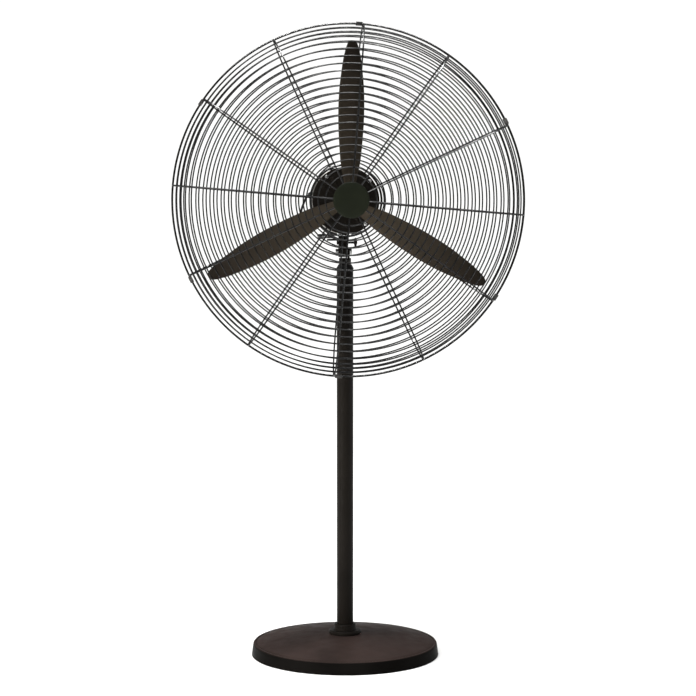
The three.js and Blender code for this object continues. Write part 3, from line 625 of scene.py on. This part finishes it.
def build_pole():
    seat = POLE_FOOT_SEAT
    foot = [(17.3, 20.4), (19.6, 20.4), (19.6, seat), (33.4, seat), (33.4, seat + 6.2),
            (31.2, seat + 8.1), (23.2, seat + 8.1), (22.8, seat + 18.6), (21.2, seat + 20.8),
            (17.3, seat + 20.8)]
    turned_piece("foot_casting", foot, ROW, "stand", ["pole_foot"], 0.9)

    bore, low = 15, 52.3
    wall = [(bore, low), (POLE_RADIUS, low), (POLE_RADIUS, POLE_TOP), (bore, POLE_TOP)]
    tube = Shape().add(*turned(fillet(wall, 0.3), 64))
    boss = fillet([(4.4, 14), (4.4, 25), (11, 25), (11, 14)], 0.8)
    tube.add(*turned(boss, 40), at(0, 0, KNOB_HEIGHT) @ ALONG_Y)
    add_piece("pole", tube, ROW, "stand", ["outer_tube"])

    collar = [(12.9, 772), (14.7, 772), (14.7, POLE_TOP + 0.3), (17.7, POLE_TOP + 0.3),
              (17.7, POLE_TOP + 2), (13.6, COLLAR_TOP), (12.9, COLLAR_TOP)]
    turned_piece("pole_bush", collar, ROW, "stand", ["tube_collar"], 0.5, 64)


def build_height_knob():
    lobe_count, lobe_height = 6, 2.0
    thread_count, thread_pitch = 11, 1.5

    def lobes(angle, r, h):
        grip = max(0.0, min(1.0, (r - 9) / 5))
        return r + grip * lobe_height * math.cos(lobe_count * angle) - grip * 0.4, h

    cap = [(0, 31.2), (12, 31.2), (16, 33), (16, 42), (13, 44), (0, 44)]
    shape = Shape().add(*turned(densify(fillet(cap, 1.6), 2), 120, lobes), ALONG_Y)
    shape.add(*swept([(0, 12.9, 0), (0, 33, 0)], 3.9, 16))
    for turn in range(thread_count):
        thread = circle_outline(3.75, 14 + thread_pitch * turn, 0.35, 6)
        shape.add(*turned(thread, 32), ALONG_Y)
    place = at(0, 0, KNOB_HEIGHT * MM)
    add_piece("clamp_knob", shape, place, "height_clamp", ["height_knob"])


# ----------------------------------------------------------------- the mast and neck

def build_mast():
    bore, low, top = 11, 460, 826
    tube = [(bore, low), (MAST_RADIUS, low), (MAST_RADIUS, top), (bore, top)]
    turned_piece("slide_tube", tube, ROW, "mast", ["inner_tube"], 0.3, 64)

    plug = [(0, 796), (10.7, 796), (10.7, 826.3), (12.5, 826.3), (12.5, 829), (0, 829)]
    stem = Shape().add(*turned(fillet(plug, 0.4), 64))
    lug = half_circle(9) + [(-9, -12.2), (9, -12.2)]
    stem.add(*prism(lug, 5.6, 9.0), at(0, 0, TILT_HEIGHT) @ SIDEWAYS)
    add_piece("neck_lug", stem, ROW, "mast", ["neck_stem"], 0.5)

    bolt = Shape().add(*prism(hexagon(13), -19.4, -13.9), ALONG_X)
    bolt.add(*swept([(-14, 0, 0), (14.5, 0, 0)], 3.9, 20))
    add_piece("pivot_bolt", bolt, TILT_BOLT, "mast", ["tilt_bolt"], 0.5)
    nut = Shape().add(*prism(hexagon(13), 9.3, 13.8), ALONG_X)
    add_piece("pivot_nut", nut, TILT_BOLT, "mast", ["tilt_nut"], 0.5)


def build_neck():
    left, right, radius = SWING_X - 9.5, SWING_X + 9.3, 9.5
    cheek = half_circle(radius, TAU / 2) + [(radius, 14), (-radius, 14)]
    shape = Shape().add(*prism(cheek, left, right), SIDEWAYS)
    barrel = fillet([(4.3, 13.9), (9.5, 13.9), (9.5, 37.5), (4.3, 37.5)], 0.8)
    shape.add(*turned(barrel, 48), at(SWING_X, 0, 0))
    shape.add(*box((left, -12.6, 14), (right, -9.9, 26)))
    shape.add(*box((left, -9.9, 14), (-9, 0, 26)))
    shape.add(*box((1, -9.9, 14), (right, 0, 26)))
    shape.add(*prism(rounded_bar((SWING_X - 9, 0), LINK_EAR, 7), 24, 28))
    add_piece("swing_clamp_block", shape, NECK, "neck", ["swing_socket"], 0.5)

    screw = Shape().add(*prism(hexagon(7), -17.4, -13.9), ALONG_X)
    screw.add(*swept([(-16, 0, 0), (20, 0, 0)], 2.1, 16))
    hub = fillet([(0, 17.5), (3.6, 17.5), (3.6, 24.5), (0, 24.5)], 0.8)
    screw.add(*turned(hub, 32), ALONG_X)
    wing = [(18.4, 1), (18.6, 6), (19.4, 9), (21, 10.4), (22.6, 9), (23.4, 6), (23.6, 1)]
    for side in (-1, 1):
        screw.add(*prism(wing, -1.2, 1.2), Matrix.Rotation(side * TAU / 4, 4, "X"))
    place = NECK @ Matrix.Translation(Vector((0, -7.9, 20)) * MM)
    add_piece("wing_screw", screw, place, "swing_clamp", ["lock_screw"], 0.3)


# ----------------------------------------------------------- the oscillation linkage

def build_linkage():
    pin = (-46, 62)
    arm = Shape().add(*prism(rounded_bar(CRANK_AXIS, pin, 7.5), 33.2, 37.7))
    boss = fillet([(4.1, 37.0), (8.2, 37.0), (7.4, 43), (4.1, 43)], 0.7)
    arm.add(*turned(boss, 40), at(*CRANK_AXIS, 0))
    arm.add(*swept([(*pin, 27.2), (*pin, 35)], 3.0, 20))
    cap = fillet([(0, 27.1), (4.4, 27.1), (4.4, 28.2), (0, 28.2)], 0.3)
    arm.add(*turned(cap, 24), at(*pin, 0))
    add_piece("drive_crank", arm, NECK, "crank", ["crank_arm"], 0.4)

    link = Shape().add(*prism(rounded_bar(LINK_EAR, pin, 6.5), 29.1, 32.9))
    head = fillet([(0, 32), (4.5, 32), (4.3, 34.4), (2.6, 35.5), (0, 35.5)], 0.5)
    link.add(*turned(head, 32), at(*LINK_EAR, 0))
    add_piece("drive_link", link, NECK, "link", ["link_arm"], 0.4)


# -------------------------------------------------------------------------- the motor

def build_motor():
    bell = [(11.4, -40), (18, -40), (18, -34.5), (68.5, -34.5), (68.5, -30), (66, -28.3),
            (11.4, -28.3)]
    shape = Shape().add(*turned(fillet(bell, 0.9), 128), ALONG_Y)
    screw_boss = fillet([(2.4, -39.7), (4, -39.7), (4, -34), (2.4, -34)], 0.4)
    for angle in PLATE_SCREW_ANGLES:
        place = Matrix.Translation(on_circle(PLATE_SCREW_RADIUS, angle)) @ ALONG_Y
        shape.add(*turned(screw_boss, 24), place)
    add_piece("front_end_bell", shape, MOTOR, "head", ["front_bell"])

    fin_count, fin_depth = 48, 1.8
    fins_front, fins_rear = -24, 32

    def fins(angle, r, y):
        if r < 64 or not fins_front < y < fins_rear:
            return r, y
        fade = min(1.0, (y - fins_front) / 4, (fins_rear - y) / 4)
        groove = max(0.0, math.cos(fin_count * angle)) ** 2
        return r - fin_depth * groove * fade, y

    can = densify(fillet([(62.5, -28), (66, -28), (66, 36), (62.5, 36)], 0.5), 3)
    shape = Shape().add(*turned(can, 384, fins), ALONG_Y)
    boss = fillet([(4.3, -68.2), (9.5, -68.2), (9.5, -61), (4.3, -61)], 0.6)
    shape.add(*turned(boss, 40), at(SWING_X, 0, 0))
    add_piece("motor_can", shape, MOTOR, "head", ["motor_shell"])

    rear = [(11.4, 36.3), (68, 36.3), (68, 43), (11.4, 43)]
    turned_piece("rear_end_bell", rear, MOTOR @ ALONG_Y, "head", ["rear_bell"], 1.2, 128)


def build_back_cover():
    slot_count, slot_depth = 36, 1.9
    slots_front, slots_rear = 62, 84

    def vents(angle, r, y):
        if r < 47 or not slots_front < y < slots_rear:
            return r, y
        inside = min(1.0, (y - slots_front) / 2, (slots_rear - y) / 2)
        slot = 1 if math.cos(slot_count * angle) > 0.25 else 0
        return r - slot_depth * slot * inside, y

    outline = [(60, 43.6), (59.5, 60), (55, 88), (46, 103), (40, 106), (0, 106), (0, 103.5),
               (39, 103.5), (44, 100), (52.5, 88), (57, 60), (57.5, 43.6)]
    shape = Shape().add(*turned(densify(fillet(outline, 1.5), 1.6), 432, vents), ALONG_Y)
    for degrees in (225, 180, 135, 90):         # off and three speeds
        tick = box((17.2, 105.8, -0.5), (21.5, 106.3, 0.5))
        shape.add(*tick, at(0, 0, SPEED_KNOB_Z) @ about_axis(degrees))
    add_piece("rear_housing", shape, MOTOR, "head", ["back_cover"])


def build_controls():
    """The speed dial, and the knob that starts and stops the swing."""
    def flutes(angle, r, y):
        ridge = 0.35 * (math.cos(24 * angle) - 1) if r > 12 and 107 < y < 114 else 0
        return r + ridge, y

    dial = [(0, 106.4), (15, 106.4), (14.2, 115.2), (0, 115.2)]
    knob = Shape().add(*turned(densify(fillet(dial, 1.0), 1.5), 192, flutes), ALONG_Y)
    knob.add(*box((-2.1, 114, -11.8), (2.1, 123, 12.8)))
    place = MOTOR @ at(0, 0, SPEED_KNOB_Z * MM)
    add_piece("speed_selector", knob, place, "speed_dial", ["speed_knob"], 0.6)

    pull = Shape().add(*swept([(*CRANK_AXIS, 9), (*CRANK_AXIS, 60)], 2.9, 20))
    cap = fillet([(0, 58), (4.6, 58), (7, 62), (7, 65), (4.2, 67), (0, 67)], 1.2)
    pull.add(*turned(cap, 48), at(*CRANK_AXIS, 0))
    add_piece("swing_selector", pull, MOTOR, "clutch", ["clutch_knob"])


LEAD_ROUTE = [
    (-72.6, 22, 11), (-77, 22, 7.5), (-82, 22.5, -3), (-87, 24, -17), (-88.5, 27, -33),
    (-85, 32, -48), (-76, 39, -57.5), (-66, 45.5, -56), (-58.5, 50, -48), (-53.6, 52.6, -40.5),
]


def build_lead():
    shape = Shape().add(*swept(smooth_path(LEAD_ROUTE), 2.3, 16))
    add_piece("lead_loop", shape, MOTOR, "head", ["motor_lead"])


# -------------------------------------------------------------------------- the guard

def cage_outline(depth, rise, shoulder_radius, centre_radius):
    """From the rim to the centre, as (radius, distance from the rim plane).

    A Bezier curve makes the shoulder and a shallow dome, which rises by `rise`, the rest.
    """
    shoulder_steps, dome_steps = 24, 40
    shoulder_depth = depth - rise
    span = GUARD_RADIUS - shoulder_radius
    knots = [Vector((GUARD_RADIUS, 0)),
             Vector((GUARD_RADIUS - 0.13 * span, 0.42 * shoulder_depth)),
             Vector((shoulder_radius + 0.52 * span, 0.84 * shoulder_depth)),
             Vector((shoulder_radius, shoulder_depth))]
    points = []
    for step in range(shoulder_steps + 1):
        t = step / shoulder_steps
        points.append(knots[0] * (1 - t) ** 3 + knots[1] * 3 * t * (1 - t) ** 2
                      + knots[2] * 3 * t ** 2 * (1 - t) + knots[3] * t ** 3)
    for step in range(1, dome_steps + 1):
        radius = shoulder_radius + (centre_radius - shoulder_radius) * step / dome_steps
        points.append(Vector((radius, depth - rise * (radius / shoulder_radius) ** 2)))
    return points


def walk(outline, pitch):
    """Points at an even pitch along the outline, after its start, each with its outward way."""
    stations, walked, due = [], 0.0, pitch
    for here, there in zip(outline, outline[1:]):
        along = there - here
        outward = Vector((along.y, -along.x)).normalized()
        while walked + along.length >= due:
            stations.append((here + along * ((due - walked) / along.length), outward))
            due += pitch
        walked += along.length
    return stations


def ring_radii(centre_radius):
    """Ring radii from the rim inward, closer together on the shoulder, where the cage turns."""
    narrow, widening, narrow_steps = 0.58, 0.2, 3       # shares of the pitch, and a count
    radii, radius, number = [], GUARD_RADIUS - RIM_WIRE_RADIUS, 1
    while radius > centre_radius:
        radii.append(radius)
        radius -= RING_PITCH * min(1.0, narrow + widening * max(0, number - narrow_steps))
        number += 1
    return radii[1:]


def widened(radii, centre_radius, most=5):
    """Rings moved outward, most of all halfway in, so as not to line up with the other cage's."""
    ways = [(radius - centre_radius) / (GUARD_RADIUS - centre_radius) for radius in radii]
    return [radius + most * 4 * way * (1 - way) for radius, way in zip(radii, ways)]


def depth_at(outline, radius):
    for here, there in zip(outline, outline[1:]):
        if there.x <= radius <= here.x:
            return here.lerp(there, (here.x - radius) / max(TINY, here.x - there.x)).y
    return outline[-1].y


def build_cage(name, node, side, outline, radii, extra_rings, inner_end):
    """Rim, rings and ribs of one half; side is 1 behind the rim plane and -1 in front of it.

    extra_rings are (radius, y, wire radius) and inner_end, where the ribs end, is (radius, y).
    """
    shape = Shape()
    rim_y = RIM_PLANE + side * (RIM_WIRE_RADIUS + 0.15)
    rim_centre = GUARD_RADIUS - RIM_WIRE_RADIUS
    shape.add(*turned(circle_outline(rim_centre, rim_y, RIM_WIRE_RADIUS, 12), 192), ALONG_Y)
    for radius in radii:
        circle = circle_outline(radius, RIM_PLANE + side * depth_at(outline, radius), WIRE_RADIUS)
        shape.add(*turned(circle, 144), ALONG_Y)
    for radius, y, wire in extra_rings:
        shape.add(*turned(circle_outline(radius, y, wire, 12), 144), ALONG_Y)

    rib_step = 6.0
    lift = 1.9 * WIRE_RADIUS                    # the ribs lie on the rings
    widest = GUARD_RADIUS - 1.15 * WIRE_RADIUS
    path = [Vector((rim_centre, rim_y, 0))]
    for point, outward in walk(outline, rib_step):
        path.append(Vector((min(point.x + lift * outward.x, widest),
                            RIM_PLANE + side * (point.y + lift * outward.y), 0)))
    path += [Vector((radius, y, 0)) for radius, y in inner_end]
    for index in range(RIB_COUNT):
        degrees = RIB_PHASE + index * 360 / RIB_COUNT
        shape.add(*swept(path, WIRE_RADIUS * 1.12), about_axis(degrees))
    add_piece(name, shape, MOTOR, "head", [node])


def build_guard():
    rear = cage_outline(depth=87, rise=25, shoulder_radius=301, centre_radius=REAR_CENTRE)
    rear_radii = widened(ring_radii(REAR_CENTRE), REAR_CENTRE)
    build_cage("rear_cage", "rear_guard", 1, rear, rear_radii,
               extra_rings=[(72.6, RIM_PLANE + 85.2, 2.3), (55, -37.5, 1.7)],
               inner_end=[(72.6, -37.6), (55, -37.4)])
    front = cage_outline(depth=73.4, rise=25, shoulder_radius=306, centre_radius=FRONT_CENTRE)
    build_cage("front_cage", "front_guard", -1, front, ring_radii(FRONT_CENTRE),
               extra_rings=[(34.2, RIM_PLANE - 75.2, 1.7)],
               inner_end=[(34.2, RIM_PLANE - 76.0)])

    back = RIM_PLANE - 77.6
    crown = [(0, back - 2.8), (10, back - 2.7), (20, back - 2.4), (28, back - 2.0),
             (33, back - 1.6), (35.3, back - 1.0), (36.4, back - 0.3), (36.4, back), (0, back)]
    turned_piece("centre_badge", crown, MOTOR @ ALONG_Y, "head", ["guard_badge"], 0.3, 128)


def screw_head(radius, seat, top):
    """A pan head with a cross recess, along -Y."""
    recess_depth = 0.9

    def recess(angle, r, y):
        on_arm = min(abs(math.sin(angle)), abs(math.cos(angle))) * r < 0.16 * radius
        cut = on_arm and r < 0.62 * radius and y < seat - 0.6
        return r, y + (recess_depth if cut else 0)

    height = seat - top
    outline = [(0, top), (0.4 * radius, top), (0.8 * radius, top + 0.12 * height),
               (radius, seat - 0.45 * height), (radius, seat), (0, seat)]
    return Shape().add(*turned(densify(fillet(outline, 0.3), 0.28), 72, recess), ALONG_Y)


def build_guard_plate():
    rib_inner, rib_outer, rib_fade = 26, 56, 4

    def pressed_ribs(angle, r, y):
        """Radial stiffening ribs pressed into the front of the disc."""
        if y > -41 or not rib_inner < r < rib_outer:
            return r, y
        fade = min(1.0, (r - rib_inner) / rib_fade, (rib_outer - r) / rib_fade)
        ridge = max(0.0, math.cos(12 * angle)) ** 6
        return r, y - 1.2 * fade * ridge + 0.4 * fade

    outline = [(68.4, -40.2), (68.4, -42.2), (57, -42.6), (52, -44.2), (22, -44.2), (22, -40)]
    outline = densify(fillet(outline, 1.0), 2.0)
    shape = Shape().add(*turned(outline, 288, pressed_ribs), ALONG_Y)
    add_piece("motor_face_plate", shape, MOTOR, "head", ["guard_plate"])

    screw = screw_head(3.9, -42.9, -45.4)
    screw.add(*swept([(0, -43.2, 0), (0, -31, 0)], 2.0, 12))
    for number, angle in enumerate(PLATE_SCREW_ANGLES, 1):
        placed = screw.moved(Matrix.Translation(on_circle(PLATE_SCREW_RADIUS, angle)))
        add_piece(f"face_screw_{number}", placed, MOTOR, "head", [f"plate_screw_{number}"])


def build_clips():
    """U-shaped clips over both rims, each with its screw, turned to stand beside a rib."""
    half, strap, width, beside_rib = 5.6, 1.4, 13, 1.4
    outline = [(-6, -half), (0, -half), (0, half), (-6, half), (-6, half + strap),
               (strap, half + strap), (strap, -half - strap), (-6, -half - strap)]
    outer = GUARD_RADIUS + 0.3
    clip = Shape().add(*prism(outline, -width / 2, width / 2), at(outer, RIM_PLANE, 0))
    screw = screw_head(2.9, 0, -1.6)
    clip.add(screw.vertices, screw.faces, at(outer - 3.2, RIM_PLANE - half - strap, 0))
    bead = [(outer + 0.9, RIM_PLANE - 4, 4.2), (outer + 0.9, RIM_PLANE + 4, 4.2)]
    clip.add(*swept(bead, 0.7))
    for index in range(CLIP_COUNT):
        degrees = RIB_PHASE + beside_rib + index * 360 / CLIP_COUNT
        add_piece(f"rim_clip_{index + 1}", clip.moved(about_axis(degrees)), MOTOR, "head",
                  [f"guard_clip_{index + 1}"], 0.35)


# -------------------------------------------------------------------------- the rotor

BLADE_CHORD = [                                 # (radius, width)
    (27, 21), (46, 29), (75, 41), (110, 48), (150, 53), (190, 54), (226, 51), (256, 44.5),
    (283, 37), (301, 29), (313, 21.5), (319, 14), (321, 8),
]
ROOT_PITCH, TIP_PITCH = 30, 15                  # degrees
SHEET_HALF = 0.9                                # half the sheet's thickness


def chord_slope(index):
    before = BLADE_CHORD[max(0, index - 1)]
    after = BLADE_CHORD[min(len(BLADE_CHORD) - 1, index + 1)]
    return (after[1] - before[1]) / (after[0] - before[0])


def chord_at(radius):
    """The blade's width at a radius, on a smooth curve through BLADE_CHORD."""
    index = 0
    while index < len(BLADE_CHORD) - 2 and BLADE_CHORD[index + 1][0] < radius:
        index += 1
    (r0, w0), (r1, w1) = BLADE_CHORD[index:index + 2]
    span = r1 - r0
    t = (radius - r0) / span
    return ((2 * t ** 3 - 3 * t ** 2 + 1) * w0
            + (t ** 3 - 2 * t ** 2 + t) * span * chord_slope(index)
            + (3 * t ** 2 - 2 * t ** 3) * w1 + (t ** 3 - t ** 2) * span * chord_slope(index + 1))


def crease_at(radius):
    """How far the pressed crease runs from the blade's middle, towards its leading edge."""
    return 1.0 + 16.0 * max(0.0, (radius - 50) / 223) ** 1.6


def blade_solid():
    """A twisted, hollowed and creased sheet along Z, its front and its back in one ring."""
    spans, strips = 96, 26
    hollow, fold_slope = 0.05, 0.16
    crease_height, crease_width = 0.5, 1.3
    vertices = []
    for station in range(spans + 1):
        t = station / spans
        radius = BLADE_ROOT + (BLADE_TIP - BLADE_ROOT) * (1 - (1 - t) ** 1.5)
        width = max(1.5, chord_at(radius))
        blend = (radius - BLADE_ROOT) / (BLADE_TIP - BLADE_ROOT)
        pitch = math.radians(ROOT_PITCH + (TIP_PITCH - ROOT_PITCH) * blend)
        for strip in range(2 * strips):
            on_front = strip < strips
            u = strip / (strips - 1) if on_front else 1 - (strip - strips) / (strips - 1)
            across = (u - 0.5) * width + BLADE_SET
            y = across * math.tan(pitch) - hollow * width * (1 - (2 * u - 1) ** 2)
            fold = across - crease_at(radius)
            if fold > 0:
                y += fold_slope * fold
            y -= crease_height * math.exp(-(fold / crease_width) ** 2)
            half = SHEET_HALF * math.sqrt(max(0.0, 1 - (2 * u - 1) ** 12))
            y += -half if on_front else half
            vertices.append((across, y, radius))
    ring = 2 * strips
    faces = tube_walls(ring, spans + 1)
    faces.append(list(range(ring)))
    faces.append([spans * ring + k for k in range(ring)][::-1])
    return vertices, faces


def build_rotor():
    blade = Shape().add(*blade_solid())
    rivet = fillet([(0, -1.4), (2.2, -0.9), (2.6, 0), (0, 0)], 0.3)
    slope, proud = math.tan(math.radians(29)), 1.6      # of the blade where the rivets sit
    for radius, across in ((32, -4), (32, 4), (40, 0)):
        y = across * slope - proud
        blade.add(*turned(rivet, 24), at(across, y, radius) @ ALONG_Y)
    for number, phase in enumerate(BLADE_PHASES, 1):
        placed = blade.moved(about_axis(phase - 90) @ at(0, BLADE_PLANE, 0))
        add_piece(f"fan_blade_{number}", placed, MOTOR, "rotor", [f"blade_{number}"])

    hub = [(6.3, -136), (15, -136), (15, -131), (24, -129), (24, -121), (15, -118), (13, -100),
           (6.3, -100)]
    shape = Shape().add(*turned(fillet(hub, 1.0), 96), ALONG_Y)
    add_piece("hub_casting", shape, MOTOR, "rotor", ["blade_hub"])


# ------------------------------------------------------------------------ the object

add_camera()
finish_cad_nodes()
build_base()
build_pole()
build_height_knob()
build_mast()
build_neck()
build_linkage()
build_motor()
build_back_cover()
build_controls()
build_lead()
build_guard_plate()
build_guard()
build_clips()
build_rotor()
add_room()
add_lights()
add_floor()
